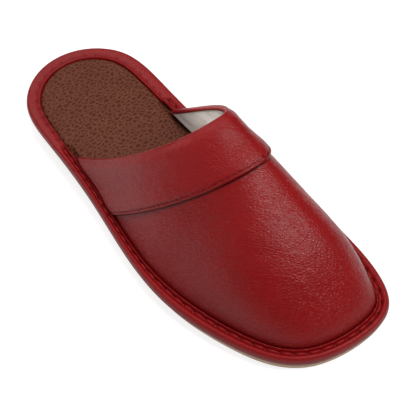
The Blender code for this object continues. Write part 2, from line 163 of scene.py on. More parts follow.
def hermite(x, xs, ys):
    """Smooth curve through the points, each tangent from its neighbours."""
    xs = np.asarray(xs, float)
    ys = np.asarray(ys, float)
    h = np.diff(xs)
    d = np.diff(ys) / h
    m = np.empty_like(ys)
    m[0] = d[0]
    m[-1] = d[-1]
    m[1:-1] = (h[1:] * d[:-1] + h[:-1] * d[1:]) / (h[1:] + h[:-1])
    x = np.clip(x, xs[0], xs[-1])
    i = np.clip(np.searchsorted(xs, x, side="right") - 1, 0, len(xs) - 2)
    t = (x - xs[i]) / h[i]
    value = ys[i] * (1 + 2 * t) * (1 - t) ** 2 + ys[i + 1] * t * t * (3 - 2 * t)
    slope = h[i] * (m[i] * t * (1 - t) ** 2 - m[i + 1] * t * t * (1 - t))
    return value + slope


def column(table, i):
    return [row[i] for row in table]


def ease(t):
    t = np.clip(t, 0, 1)
    return t * t * (3 - 2 * t)


def soft_clip(t, w=0.3):
    """Limits to 0 and 1 with a rounded start and end."""
    low = np.where(t < -w, 0, np.where(t < w, (t + w) ** 2 / (4 * w), t))
    high = 1 - low
    return 1 - np.where(high < -w, 0, np.where(high < w, (high + w) ** 2 / (4 * w), high))


def closed_curve(points, n):
    """Closed cubic spline through the points."""
    p = np.asarray(points, float)
    k = len(p)
    h = np.sqrt(np.linalg.norm(np.roll(p, -1, 0) - p, axis=1))
    a = np.zeros((k, k))
    r = np.zeros_like(p)
    for i in range(k):
        j = (i - 1) % k
        l = (i + 1) % k
        a[i, j] = h[j]
        a[i, i] = 2 * (h[j] + h[i])
        a[i, l] = h[i]
        r[i] = 6 * ((p[l] - p[i]) / h[i] - (p[i] - p[j]) / h[j])
    m = np.linalg.solve(a, r)
    s = np.concatenate([[0], np.cumsum(h)])
    t = np.linspace(0, s[-1], n, endpoint=False)
    i = np.searchsorted(s, t, side="right") - 1
    l = (i + 1) % k
    w = h[i][:, None]
    u = (s[i + 1] - t)[:, None]
    v = (t - s[i])[:, None]
    bend = (m[i] * u ** 3 + m[l] * v ** 3) / (6 * w)
    return bend + (p[i] / w - m[i] * w / 6) * u + (p[l] / w - m[l] * w / 6) * v


def share(y):
    return (y + LENGTH / 2) / LENGTH


def station(s):
    return s * LENGTH - LENGTH / 2


def make_outline():
    points = [(0.0, station(0))]
    points += [(-m * BALL_WIDTH, station(s)) for s, m, _ in OUTLINE]
    points += [(TOE_SHIFT, station(1))]
    points += [(l * BALL_WIDTH, station(s)) for s, _, l in OUTLINE[::-1]]
    curve = closed_curve(points, 1600)
    tangent = np.roll(curve, -1, 0) - np.roll(curve, 1, 0)
    normal = np.stack([tangent[:, 1], -tangent[:, 0]], 1)
    normal /= np.linalg.norm(normal, axis=1)[:, None]
    if ((curve - curve.mean(0)) * normal).sum() < 0:
        normal = -normal
    return curve, normal


EDGE, EDGE_OUT = make_outline()
MIDDLE_X = (EDGE[:, 0].min() + EDGE[:, 0].max()) / 2


def outer_share(x, y):
    """0 on the inner side, 1 on the outer side, with a soft change at heel and toe."""
    return ease((x - TOE_SHIFT * share(y)) / (0.8 * BALL_WIDTH) + 0.5)


def by_side(table, size, x, y):
    inner = hermite(share(y), column(table, 0), column(table, 1)) * size
    outer = hermite(share(y), column(table, 0), column(table, 2)) * size
    return inner + (outer - inner) * outer_share(x, y)


EDGE_WIDTH = by_side(BINDING_WIDTH, STRIP_WIDTH, EDGE[:, 0], EDGE[:, 1])
FOOT = EDGE - EDGE_OUT * EDGE_WIDTH[:, None]
HEEL_AT = int(np.argmin(FOOT[:, 1]))
TOE_AT = int(np.argmax(FOOT[:, 1]))
TOE_TIP = FOOT[TOE_AT]


def side_order(side):
    if side < 0:
        return np.arange(HEEL_AT, TOE_AT + 1)
    n = len(EDGE)
    return np.arange(HEEL_AT + n, TOE_AT - 1, -1) % n


ORDER = {-1: side_order(-1), 1: side_order(1)}
RUN = {}
for side_key, order_key in ORDER.items():
    steps = np.linalg.norm(np.diff(FOOT[order_key], axis=0), axis=1)
    RUN[side_key] = np.concatenate([[0], np.cumsum(steps)])


def along(values, side, run):
    v = values[ORDER[side]]
    return np.stack([np.interp(run, RUN[side], v[:, i]) for i in range(v.shape[1])], -1)


def run_at(side, y):
    return np.interp(y, FOOT[ORDER[side]][:, 1], RUN[side])


def foot_x(side, y):
    f = FOOT[ORDER[side]]
    return np.interp(y, f[:, 1], f[:, 0])


def rim_height(y):
    return hermite(share(y), column(SOLE_HEIGHT, 0), column(SOLE_HEIGHT, 1)) * HEEL_LIFT


def underside(y):
    return hermite(share(y), column(SOLE_HEIGHT, 0), column(SOLE_HEIGHT, 2)) * TOE_SPRING


def ridge_x(y):
    s = column(RIDGE, 0) + [share(TOE_TIP[1])]
    x = [-v * BALL_WIDTH for v in column(RIDGE, 2)] + [TOE_TIP[0]]
    return hermite(share(y), s, x)


def ridge_height(y):
    tip = TOE_TIP[1]
    ys = [tip] + [station(s) for s in column(RIDGE, 0)[::-1]]
    zs = [rim_height(tip) + MARGIN_UP] + [z * INSTEP_HEIGHT for z in column(RIDGE, 1)[::-1]]
    bend = [math.sqrt(max(tip - v, 0)) for v in ys]
    return hermite(np.sqrt(np.maximum(tip - y, 0)), bend, zs)


def last_height(x, y):
    """Height of the upper's outside over any point of the plan."""
    middle = ridge_x(y)
    side = np.where(x > middle, foot_x(1, y), foot_x(-1, y))
    out = np.clip(np.abs(x - middle) / np.maximum(np.abs(side - middle), 1e-6), 0, 1)
    t = soft_clip((share(y) - SEAM[0]) / (RIDGE[4][0] - SEAM[0]))
    shape = [np.where(x < middle, a, b) for a, b in zip(SECTION_INNER, SECTION_OUTER)]
    crown = shape[0] + (shape[2] - shape[0]) * t
    steep = shape[1] + (shape[3] - shape[1]) * t
    foot = rim_height(y) + MARGIN_UP
    return foot + (ridge_height(y) - foot) * (1 - out ** crown) ** (1 / steep)


def plan_arch(row, u):
    middle = station(row[0])
    end = np.where(u > 0, station(row[1]), station(row[2]))
    y = middle - (middle - end) * np.abs(u) ** row[3]
    edge = np.where(u > 0, foot_x(1, y), foot_x(-1, y))
    centre = ridge_x(middle)
    return np.stack([centre + (edge - centre) * np.abs(u), y], -1)


def plan_toe(u):
    inner = along(FOOT, -1, RUN[-1][-1] - TOE_ARC * np.abs(u))
    outer = along(FOOT, 1, RUN[1][-1] - TOE_ARC * np.abs(u))
    return np.where((u > 0)[:, None], outer, inner)


def last_row(k, u):
    """Row k of the last: 0 collar, 1 seam, 2 toe; u from -1 inner foot to 1 outer foot."""
    u = np.asarray(u, float)
    ends = np.array([-1.0, 1.0])
    if k <= 1:
        first, second = plan_arch(COLLAR, u), plan_arch(SEAM, u)
        first_end, second_end = plan_arch(COLLAR, ends), plan_arch(SEAM, ends)
        w = k
    else:
        first, second = plan_arch(SEAM, u), plan_toe(u)
        first_end, second_end = plan_arch(SEAM, ends), plan_toe(ends)
        w = k - 1
    p = first + (second - first) * w
    for i, side in enumerate((-1, 1)):
        run = run_at(side, first_end[i, 1])
        if k <= 1:
            run += (run_at(side, second_end[i, 1]) - run) * w
        else:
            run += (RUN[side][-1] - TOE_ARC - run) * w
        on_foot = along(FOOT, side, np.array([run]))[0]
        off = on_foot - (first_end[i] + (second_end[i] - first_end[i]) * w)
        p = p + off * ((u * side > 0) * np.abs(u) ** 2.5)[:, None]
    return np.column_stack([p, last_height(p[:, 0], p[:, 1])])


def spread(n):
    return np.sin(np.linspace(-math.pi / 2, math.pi / 2, n + 1))


def grid_normals(grid):
    """Outward normals of a surface grid of rows and columns."""
    down = np.gradient(grid, axis=0)
    across = np.gradient(grid, axis=1)
    n = np.cross(across, down)
    n /= np.maximum(np.linalg.norm(n, axis=2), 1e-12)[..., None]
    if n[..., 2].mean() < 0:
        n = -n
    return n


# ---- Round the edge ----

def turn_table():
    """Shares of the way round against the dense outline: heel 0, toe 0.5."""
    n = len(EDGE)
    at = HEEL_AT + np.arange(n + 1)
    step = np.linalg.norm(np.diff(EDGE[at % n], axis=0), axis=1)
    run = np.concatenate([[0], np.cumsum(step)])
    toe = TOE_AT - HEEL_AT
    back = 0.5 + 0.5 * (run - run[toe]) / (run[-1] - run[toe])
    return at, np.where(run <= run[toe], 0.5 * run / run[toe], back)


TURN_AT, TURN_SHARE = turn_table()


def round_at(values, f):
    i = np.interp(np.mod(f, 1.0), TURN_SHARE, TURN_AT)
    low = np.floor(i).astype(int)
    t = (i - low).reshape((-1,) + (1,) * (values.ndim - 1))
    n = len(values)
    return values[low % n] * (1 - t) + values[(low + 1) % n] * t


def edge_points(f, inset):
    """Plan points at shares f of the way round, each row of inset further in."""
    out = round_at(EDGE_OUT, f)
    out /= np.linalg.norm(out, axis=1)[:, None]
    return round_at(EDGE, f)[None] - out[None] * inset[..., None]


def lift(plan, up):
    return np.dstack([plan, rim_height(plan[..., 1]) + up])


def vamp_share(x, y):
    """0 behind the collar's ends, 1 from just behind them to the toe."""
    start = COLLAR[2] + (COLLAR[1] - COLLAR[2]) * outer_share(x, y)
    return ease((share(y) - (start - 0.050)) / 0.026)


# ---- Meshes ----

def lay_sheet(bm, grid, marks=None):
    """A sheet of faces laid over a grid of points, with its marks in vertex layers."""
    rows, columns = grid.shape[0] - 1, grid.shape[1] - 1
    made = bmesh.ops.create_grid(bm, x_segments=columns, y_segments=rows, size=1)["verts"]
    layers = {name: bm.verts.layers.float[name] for name in marks or {}}
    for v in made:
        i = round((v.co.x + 1) / 2 * columns)
        j = round((v.co.y + 1) / 2 * rows)
        v.co = grid[j, i]
        for name, layer in layers.items():
            v[layer] = marks[name][j, i]
    return made


def new_piece(name, build, materials, nodes=(), flat=False):
    bm = bmesh.new()
    for layer in ("painted_shade", "across", "along"):
        bm.verts.layers.float.new(layer)
    build(bm)
    bmesh.ops.remove_doubles(bm, verts=bm.verts, dist=2e-6)
    bmesh.ops.translate(bm, verts=bm.verts, vec=(-MIDDLE_X, 0, 0))
    bmesh.ops.recalc_face_normals(bm, faces=bm.faces)
    mesh = bpy.data.meshes.new(name)
    bm.to_mesh(mesh)
    bm.free()
    mesh.polygons.foreach_set("use_smooth", [not flat] * len(mesh.polygons))
    piece = bpy.data.objects.new(name, mesh)
    bpy.context.scene.collection.objects.link(piece)
    for material in materials:
        mesh.materials.append(material)
    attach(piece, "root")
    if nodes:
        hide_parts(*nodes)
    return piece


def cap_grid(loop, steps, across, height_at):
    """Rows across a closed ring from heel to toe; loop holds the ring's plan points."""
    t = np.linspace(0, 1, across + 1)
    rows = []
    for i in range(steps + 1):
        a, b = loop[i], loop[(2 * steps - i) % (2 * steps)]
        rows.append(a[None] + (b - a)[None] * t[:, None])
    grid = np.array(rows)
    z = height_at(grid[..., 0], grid[..., 1])
    out = np.dstack([grid[..., :2], z])
    out[:, 0] = loop[:steps + 1]
    out[:, -1] = np.array([loop[(2 * steps - i) % (2 * steps)] for i in range(steps + 1)])
    return out


# ---- Outsole ----

def build_outsole(bm):
    f = np.linspace(0, 1, 2 * SOLE_STEPS + 1)
    edge = round_at(EDGE, f)
    back = by_side(SOLE_SETBACK, SETBACK, edge[:, 0], edge[:, 1])
    # Distance in and height over the rim (mm).
    side = [(4.9, 1.3), (4.7, 0.0), (0.9, 0.0), (0.35, -0.05), (0.1, -0.25)]
    rows = []
    for inset, up in side:
        plan = edge_points(f, (back + inset * MM)[None])[0] if inset < 4 else edge_points(
            f, np.full_like(back, inset * MM)[None])[0]
        rows.append(np.column_stack([plan, rim_height(plan[:, 1]) + up * MM]))
    for down in np.linspace(0.08, 0.90, 9):
        plan = edge_points(f, (back + 1.2 * MM * down)[None])[0]
        high, low = rim_height(plan[:, 1]), underside(plan[:, 1])
        rows.append(np.column_stack([plan, high + (low - high) * down]))
    for turn in np.linspace(0, 1, 5)[1:]:
        a = turn * math.pi / 2
        plan = edge_points(f, (back + 1.2 * MM + 0.9 * MM * (1 - math.cos(a)))[None])[0]
        low = underside(plan[:, 1])
        rows.append(np.column_stack([plan, low + 0.9 * MM * (1 - math.sin(a))]))
    grid = np.array(rows)
    lay_sheet(bm, grid)
    top = lambda x, y: rim_height(y) + 1.3 * MM
    lay_sheet(bm, cap_grid(grid[0], SOLE_STEPS, 8, top))
    lay_sheet(bm, cap_grid(grid[-1], SOLE_STEPS, 60, lambda x, y: underside(y)))


# ---- Insole ----

def cushion_up(x, y):
    return rim_height(y) + 4.8 * MM


def build_insole(bm):
    f = np.linspace(0, 1, 2 * SOLE_STEPS + 1)
    edge = round_at(EDGE, f)
    width = round_at(EDGE_WIDTH, f)
    clear = 0.25 * MM + 2.4 * MM * vamp_share(edge[:, 0], edge[:, 1])
    inner = width + clear
    section = [(4.2, 0.0), (2.6, 0.02), (1.4, 0.15), (0.6, 0.5), (0.15, 1.1), (0.0, 1.6)]
    rows = []
    for inset, down in section:
        plan = edge_points(f, (inner + inset * MM)[None])[0]
        rows.append(np.column_stack([plan, cushion_up(plan[:, 0], plan[:, 1]) - down * MM]))
    for inset, up in ((2.9, 3.2), (2.9, 1.6)):
        plan = edge_points(f, np.full_like(inner, inset * MM)[None])[0]
        rows.append(np.column_stack([plan, rim_height(plan[:, 1]) + up * MM]))
    grid = np.array(rows)
    lay_sheet(bm, grid)
    lay_sheet(bm, cap_grid(grid[0], SOLE_STEPS, 40, cushion_up))
    lay_sheet(bm, cap_grid(grid[-1], SOLE_STEPS, 8, lambda x, y: rim_height(y) + 1.6 * MM))


# ---- Edge binding ----

def stitch_line(f):
    """Run of the binding's stitches round the edge, in metres."""
    vamp = vamp_share(*round_at(EDGE, f).T)
    inset = round_at(EDGE_WIDTH, f) * (STITCH_IN[0] + (STITCH_IN[1] - STITCH_IN[0]) * vamp)
    plan = edge_points(f, inset[None])[0]
    step = np.linalg.norm(np.diff(plan, axis=0), axis=1)
    return np.concatenate([[0], np.cumsum(step)])


def build_binding(bm):
    f = np.linspace(0, 1, 2 * STRIP_STEPS + 1)
    edge = round_at(EDGE, f)
    width = round_at(EDGE_WIDTH, f)
    vamp = vamp_share(edge[:, 0], edge[:, 1])
    rows = 72
    q = np.linspace(0, 1, rows + 1)
    at = np.linspace(0, 1, len(STRIP) + 1)
    loop = STRIP + [STRIP[0]]
    part = [hermite(q, at, column(loop, i)) for i in range(4)]
    inset = (part[0][:, None] + (part[2] - part[0])[:, None] * vamp) * width
    up = (part[1][:, None] + (part[3] - part[1])[:, None] * vamp) * MM
    run = stitch_line(f)
    count = round(run[-1] / RIM_PITCH)
    phase = run / run[-1] * count
    off = np.abs(phase - np.round(phase)) * RIM_PITCH
    row_at = q * len(STRIP)
    groove = np.exp(-((row_at - STITCH_ROW) / 1.1) ** 2)
    lip = np.exp(-((row_at - 15.6) / 1.3) ** 2)
    hole = np.exp(-(off / (1.0 * MM)) ** 2)
    up = up - groove[:, None] * hole * (0.45 + 0.5 * vamp) * MM
    up = up - lip[:, None] * hole * (0.05 + 0.35 * vamp) * MM
    up = up + lap_rise(f, row_at, vamp)
    # Painted shade: darker in the stitch groove and most in the stitch holes, and along the strip's lower roll just
    # above the sole.
    painted_shade = groove[:, None] * (0.15 + 0.7 * hole) * (0.65 + 0.35 * vamp)
    edge_painted_shade = np.exp(-((row_at - 4.0) / 1.2) ** 2)[:, None] * 0.35
    plan = edge_points(f, inset)
    lay_sheet(bm, lift(plan, up), {"painted_shade": np.maximum(painted_shade, edge_painted_shade * np.ones_like(painted_shade))})


def lap_rise(f, row_at, vamp):
    """The strip's end, cut on a slant, lies over its start on the inner side."""
    s = share(round_at(EDGE, f)[:, 1])
    inner = outer_share(*round_at(EDGE, f).T) < 0.5
    slant = (row_at[:, None] - 8.0) * 0.0042
    front = ease((s[None] - 0.585 - slant) / 0.004)
    tail = 1 - ease((s[None] - 0.62 - slant) / 0.08)
    over = np.exp(-((row_at - 10.5) / 5.2) ** 6)[:, None]
    return 0.75 * MM * front * tail * over * inner[None]


def add_stitch(bm, place, length, width, high):
    """One thread stitch: a small ball drawn out along X and laid into place."""
    made = bmesh.ops.create_uvsphere(bm, u_segments=10, v_segments=6, radius=0.5)["verts"]
    bmesh.ops.rotate(bm, verts=made, cent=(0, 0, 0), matrix=Matrix.Rotation(math.pi / 2, 3, "Y"))
    for v in made:
        bend = 1 - (2 * v.co.x) ** 2
        v.co = Vector((v.co.x * length, v.co.y * width, v.co.z * high + 0.35 * high * bend))
    bmesh.ops.transform(bm, verts=made, matrix=place)


def basis(origin, forward, up):
    x = Vector(forward).normalized()
    z = Vector(up).normalized()
    y = z.cross(x).normalized()
    z = x.cross(y)
    return Matrix.Translation(Vector(origin)) @ Matrix((x, y, z)).transposed().to_4x4()


def build_rim_stitches(bm):
    f = np.linspace(0, 1, 8001)
    run = stitch_line(f)
    count = round(run[-1] / RIM_PITCH)
    for i in range(count):
        middle = (i + 0.5) / count * run[-1]
        at = np.interp([middle - 1 * MM, middle, middle + 1 * MM], run, f)
        edge = round_at(EDGE, at)
        vamp = vamp_share(edge[:, 0], edge[:, 1])
        inset = round_at(EDGE_WIDTH, at) * (STITCH_IN[0] + (STITCH_IN[1] - STITCH_IN[0]) * vamp)
        plan = edge_points(at, inset[None])[0]
        up = (4.85 + (4.75 - 4.85) * vamp) * MM
        p = np.column_stack([plan, rim_height(plan[:, 1]) + up])
        on_vamp = float(vamp[1])
        add_stitch(bm, basis(p[1], p[2] - p[0], (0, 0, 1)), (4.2 + 0.7 * on_vamp) * MM,
                   (0.7 + 0.5 * on_vamp) * MM, (0.6 + 0.4 * on_vamp) * MM)


# ---- Upper ----

def last_grid(ks, u):
    return np.array([last_row(k, u) for k in ks])


def relief(grid):
    """Soft ripples of the leather over the instep, as distances along the normal."""
    out = np.zeros(grid.shape[:2])
    turn = math.radians(38)
    c, s = math.cos(turn), math.sin(turn)
    for j in range(grid.shape[0]):
        for i in range(grid.shape[1]):
            x, y, z = grid[j, i] / MM
            a, b = c * x - s * y, s * x + c * y
            fine = noise.noise(Vector((a / 5.5, b / 2.6, z / 5.0)))
            wide = noise.noise(Vector((a / 16.0, b / 9.0, z / 16.0 + 7)))
            out[j, i] = 0.10 * fine + 0.22 * wide
    fade = ease((grid[..., 2] - rim_height(grid[..., 1]) - 12 * MM) / (18 * MM))
    return out * MM * fade


def build_upper(bm):
    u = spread(2 * SIDE_COLUMNS)
    first = [i / SEAM_ROWS for i in range(SEAM_ROWS)]
    second = [1 + math.sin(0.5 * math.pi * i / VAMP_ROWS) for i in range(VAMP_ROWS + 1)]
    ks = np.array(first + second)
    grid = last_grid(ks, u)
    normal = grid_normals(grid)
    last = len(u) - 1
    outside = grid + normal * relief(grid)[..., None]
    up = grid[..., 2] - rim_height(grid[..., 1])
    # Painted shade: darker in a band at the upper's foot next to the binding, and a painted shadow in a thin line just
    # below the cuff's lower edge.
    painted_shade = np.exp(-((up - MARGIN_UP) / (2.6 * MM)) ** 2) * 0.6
    below = np.linalg.norm(grid - grid[SEAM_ROWS], axis=2) * (ks >= 1)[:, None]
    painted_shade = np.maximum(painted_shade, np.exp(-(below / (0.7 * MM)) ** 2) * 0.6)
    inside = grid - normal * (WALL * (0.6 + 0.4 * ease(ks / 0.4)))[:, None, None]
    for j in range(len(ks)):
        for i, side in ((0, -1), (last, 1)):
            inside[j, i] = foot_inside(grid[j, i], side)
    for i in range(last + 1):
        inside[-1, i] = foot_inside(grid[-1, i], -1 if u[i] < 0 else 1)
    lay_sheet(bm, outside, {"painted_shade": painted_shade})
    lining = lay_sheet(bm, inside, {"painted_shade": np.zeros(inside.shape[:2])})
    for v in lining:
        for face in v.link_faces:
            face.material_index = 1
    border = [e for e in bm.edges if e.is_boundary]
    bmesh.ops.bridge_loops(bm, edges=border)


def foot_inside(p, side):
    """Inner foot of the wall next to a point of the foot line."""
    run = run_near(side, p)
    out = along(EDGE_OUT, side, np.array([run]))[0]
    out /= np.linalg.norm(out)
    return (p[0] - out[0] * WALL, p[1] - out[1] * WALL, p[2])


def run_near(side, p):
    f = FOOT[ORDER[side]]
    return RUN[side][int(np.argmin((f[:, 0] - p[0]) ** 2 + (f[:, 1] - p[1]) ** 2))]


# ---- Cuff ----

CUFF_COLUMNS = 150
CUFF_FOOT = 7.3 * MM
CUFF_GAP = 0.3 * MM
# Share of the way down from the topline, thickness there (mm).
CUFF_SHARES = (0, 0.14, 0.32, 0.52, 0.70, 0.84, 1.0)
CUFF_THICKNESS = (0.9, 1.75, 1.55, 1.25, 1.5, 1.9, 1.75)
# Over the topline: distance along the normal and height over the collar (mm).
CUFF_FOLD = [
    (1.25, 0.35), (1.1, 0.75), (0.75, 1.05), (0.2, 1.2), (-0.45, 1.2), (-1.05, 1.05),
    (-1.5, 0.65), (-1.8, 0.1), (-1.9, -0.5), (-1.85, -1.2), (-1.7, -1.55), (-1.5, -1.6),
    (-1.35, -1.4), (-1.25, -0.6), (-1.2, 0.0), (0.3, 0.3),
]


def cuff_columns(k, n):
    """Columns of one cuff row whose ends stay above the binding."""
    fine = np.linspace(-1, 1, 401)
    row = last_row(k, fine)
    up = row[:, 2] - rim_height(row[:, 1])
    half = len(fine) // 2
    low = np.interp(CUFF_FOOT, up[:half], fine[:half])
    high = np.interp(-CUFF_FOOT, -up[half:], fine[half:])
    t = 0.5 * (spread(n) + np.linspace(-1, 1, n + 1))
    return (low + high) / 2 + (high - low) / 2 * t


def cuff_surface():
    """The last under the cuff by distance from its lower edge: rows, normals, distances."""
    ks = np.linspace(0, 1.04, 53)
    dense = np.array([last_row(k, cuff_columns(min(k, 1), CUFF_COLUMNS)) for k in ks])
    steps = np.linalg.norm(np.diff(dense, axis=0), axis=2)
    run = np.concatenate([np.zeros((1, dense.shape[1])), np.cumsum(steps, axis=0)])
    low_edge = run[50]
    near = np.array([0, 0.12, 0.35, 0.65, 1.0, 1.35, 1.7, 1.9, 2.1, 2.3, 2.5, 2.9, 3.5, 4.2, 5.2]) * MM
    far = np.linspace(0, 1, 30)[1:]
    rows = []
    distances = []
    for i in range(dense.shape[1]):
        d = np.concatenate([near, near[-1] + (low_edge[i] - near[-1]) * far])
        at = low_edge[i] - d
        rows.append(np.stack([np.interp(at, run[:, i], dense[:, i, c]) for c in range(3)], -1))
        distances.append(d)
    grid = np.array(rows).transpose(1, 0, 2)
    distance = np.array(distances).T
    normal = grid_normals(dense)
    picked = []
    for i in range(dense.shape[1]):
        at = low_edge[i] - distance[:, i]
        picked.append(np.stack([np.interp(at, run[:, i], normal[:, i, c]) for c in range(3)], -1))
    normal = np.array(picked).transpose(1, 0, 2)
    normal /= np.linalg.norm(normal, axis=2)[..., None]
    return grid, normal, distance


CUFF_GRID, CUFF_NORMAL, CUFF_DISTANCE = cuff_surface()


def cuff_thick(distance, width):
    """Outer face of the cuff over the last, rounded at its lower edge and full above it."""
    full = hermite(1 - distance / width, CUFF_SHARES, CUFF_THICKNESS) * MM
    edge = np.clip(distance / (1.3 * MM), 0, 1)
    roll = 0.35 + 0.65 * np.sqrt(1 - (1 - edge) ** 2)
    return full * roll


def seam_run():
    """Run along the cuff's stitch line, a column's width at a time."""
    row = int(np.argmin(np.abs(CUFF_DISTANCE[:, 0] - CUFF_STITCH_UP)))
    line = CUFF_GRID[row]
    step = np.linalg.norm(np.diff(line, axis=0), axis=1)
    return row, np.concatenate([[0], np.cumsum(step)])


def build_cuff(bm):
    width = CUFF_DISTANCE[-1][None]
    run = seam_run()[1]
    count = round(run[-1] / CUFF_PITCH)
    phase = run / run[-1] * count
    off = np.abs(phase - np.round(phase)) * CUFF_PITCH
    trough = np.exp(-((CUFF_DISTANCE - CUFF_STITCH_UP) / (0.55 * MM)) ** 2)
    hole = trough * np.exp(-(off / (0.65 * MM)) ** 2)[None]
    thick = cuff_thick(CUFF_DISTANCE, width) - (0.22 * trough + 0.25 * hole) * MM
    ripple = relief(CUFF_GRID) * ease(CUFF_DISTANCE / (5 * MM))
    outer = CUFF_GRID + CUFF_NORMAL * (CUFF_GAP + thick + ripple)[..., None]
    # Painted shade: darker in the stitch trough and holes, and a painted shadow along the cuff's lower edge.
    painted_shade = np.maximum(hole, trough * 0.12)
    painted_shade = np.maximum(painted_shade, np.exp(-(CUFF_DISTANCE / (0.5 * MM)) ** 2) * 0.8)
    back = CUFF_GRID + CUFF_NORMAL * CUFF_GAP
    top, side = CUFF_GRID[-1], CUFF_NORMAL[-1]
    rise = CUFF_GRID[-1] - CUFF_GRID[-2]
    rise /= np.linalg.norm(rise, axis=1)[:, None]
    fold = [top + side * a * MM + rise * b * MM for a, b in CUFF_FOLD]
    loops = np.array(list(outer) + fold + list(back[::-1]) + [outer[0]])
    shade = np.zeros(loops.shape[:2])
    shade[:len(outer)] = painted_shade
    lay_sheet(bm, loops, {"painted_shade": shade})
    bmesh.ops.remove_doubles(bm, verts=bm.verts, dist=2e-6)
    ends = [e for e in bm.edges if e.is_boundary]
    bmesh.ops.holes_fill(bm, edges=ends)


def build_cuff_stitches(bm):
    row, run = seam_run()
    count = round(run[-1] / CUFF_PITCH)
    width = CUFF_DISTANCE[-1]
    for i in range(count):
        middle = (i + 0.5) / count * run[-1]
        at = np.interp([middle - 0.5 * MM, middle, middle + 0.5 * MM], run, np.arange(len(run)))
        p, n = [], []
        for a in at:
            low = min(int(a), len(run) - 2)
            t = a - low
            p.append(CUFF_GRID[row, low] * (1 - t) + CUFF_GRID[row, low + 1] * t)
            n.append(CUFF_NORMAL[row, low] * (1 - t) + CUFF_NORMAL[row, low + 1] * t)
        thick = cuff_thick(np.array([CUFF_STITCH_UP]), np.array([width[int(at[1])]]))[0]
        up = CUFF_GAP + thick - 0.28 * MM
        origin = p[1] + n[1] * up
        add_stitch(bm, basis(origin, p[2] - p[0], n[1]), 2.3 * MM, 0.5 * MM, 0.42 * MM)


# ---- Materials ----

def add(tree, kind, at, inputs=None, **settings):
    made = tree.nodes.new(kind)
    made.location = at
    for key, value in settings.items():
        setattr(made, key, value)
    for key, value in (inputs or {}).items():
        socket = made.inputs[key]
        if isinstance(value, bpy.types.NodeSocket):
            tree.links.new(value, socket)
        else:
            socket.default_value = value
    return made


def grain_group():
    """Leather grain: cells drawn out by a noise, with a finer noise on top."""
    tree = bpy.data.node_groups.new("leather_grain", "ShaderNodeTree")
    face = tree.interface
    face.new_socket(name="Vector", in_out="INPUT", socket_type="NodeSocketVector")
    for name, value in (("Cell", 500.0), ("Warp", 0.5), ("Fine", 0.3)):
        socket = face.new_socket(name=name, in_out="INPUT", socket_type="NodeSocketFloat")
        socket.default_value = value
    face.new_socket(name="Height", in_out="OUTPUT", socket_type="NodeSocketFloat")
    face.new_socket(name="Valley", in_out="OUTPUT", socket_type="NodeSocketFloat")
    given = add(tree, "NodeGroupInput", (-900, 0))
    scaled = add(tree, "ShaderNodeVectorMath", (-700, 0), {0: given.outputs["Vector"], "Scale": given.outputs["Cell"]},
                 operation="SCALE")
    warp = add(tree, "ShaderNodeTexNoise", (-520, -200),
               {"Vector": scaled.outputs[0], "Scale": 0.9, "Detail": 2.0})
    centred = add(tree, "ShaderNodeVectorMath", (-340, -200),
                  {0: warp.outputs["Color"], 1: (0.5, 0.5, 0.5)}, operation="SUBTRACT")
    sized = add(tree, "ShaderNodeVectorMath", (-180, -200),
                {0: centred.outputs[0], "Scale": given.outputs["Warp"]}, operation="SCALE")
    moved = add(tree, "ShaderNodeVectorMath", (-20, 0), {0: scaled.outputs[0], 1: sized.outputs[0]},
                operation="ADD")
    cells = add(tree, "ShaderNodeTexVoronoi", (160, 0), {"Vector": moved.outputs[0], "Scale": 1.0},
                feature="DISTANCE_TO_EDGE")
    soft = add(tree, "ShaderNodeMapRange", (340, 0), {"Value": cells.outputs["Distance"], "From Max": 0.35},
               interpolation_type="SMOOTHSTEP")
    fine = add(tree, "ShaderNodeTexNoise", (160, -300),
               {"Vector": moved.outputs[0], "Scale": 2.6, "Detail": 3.0})
    mixed = add(tree, "ShaderNodeMath", (520, 0),
                {0: fine.outputs["Fac"], 1: given.outputs["Fine"], 2: soft.outputs[0]},
                operation="MULTIPLY_ADD")
    valley = add(tree, "ShaderNodeMath", (520, -200), {0: 1.0, 1: soft.outputs[0]}, operation="SUBTRACT")
    add(tree, "NodeGroupOutput", (720, 0),
        {"Height": mixed.outputs[0], "Valley": valley.outputs[0]})
    return tree


GRAIN = grain_group()


def new_material(name, **shader):
    material = bpy.data.materials.new(name)
    material.use_nodes = True
    tree = material.node_tree
    bsdf = tree.nodes["Principled BSDF"]
    for key, value in shader.items():
        bsdf.inputs[key.replace("_", " ")].default_value = value
    return material, tree, bsdf


def mix_color(tree, factor, a, b, at, blend="MIX"):
    made = add(tree, "ShaderNodeMix", at, data_type="RGBA", blend_type=blend)
    for key, value in (("Factor", factor), ("A", a), ("B", b)):
        socket = [s for s in made.inputs if s.name == key and s.type == ("VALUE" if key == "Factor" else "RGBA")][0]
        if isinstance(value, bpy.types.NodeSocket):
            tree.links.new(value, socket)
        else:
            socket.default_value = value
    return [s for s in made.outputs if s.type == "RGBA"][0]


